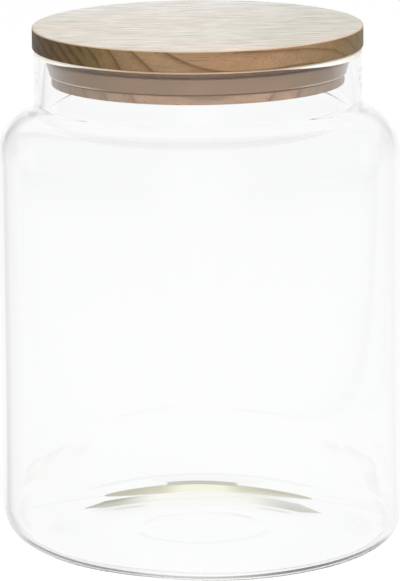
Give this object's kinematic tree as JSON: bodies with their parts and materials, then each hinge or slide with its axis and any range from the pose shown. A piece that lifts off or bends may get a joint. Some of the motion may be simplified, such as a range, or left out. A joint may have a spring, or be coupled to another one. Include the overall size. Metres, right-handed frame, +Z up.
{
  "type": "storage jar with wooden lid",
  "caption": "Clear glass storage jar with a straight wall, round shoulder and short neck, closed by a flat wooden lid whose plug carries a flexible seal ring.",
  "frame": {"origin": "centre of the base, on the surface that the jar stands on", "axes": "+Z up along the jar's axis; the jar is round, and -Y faces the picture's camera, with +X to the right"},
  "size_m": [0.166, 0.166, 0.2169],
  "materials": {
    "glass": "clear soda-lime glass with a faint green-grey tint, smooth and glossy",
    "lid_wood": "pale grey-beige face grain, sanded and thinly oiled, with darker olive-brown end grain on the edge",
    "plug_wood": "pinkish-brown turned wood, thinly oiled",
    "silicone": "clear translucent silicone, satin"
  },
  "bodies": {
    "jar": {"glass_jar": "glass"},
    "lid": {"lid_disc": "lid_wood", "lid_plug": "plug_wood", "seal_ring": "silicone"}
  },
  "joints": [
    {"name": "lid_lift", "type": "slide", "parent": "jar", "child": "lid", "axis": [0, 0, 1], "range_m": [0, 0.08]}
  ]
}
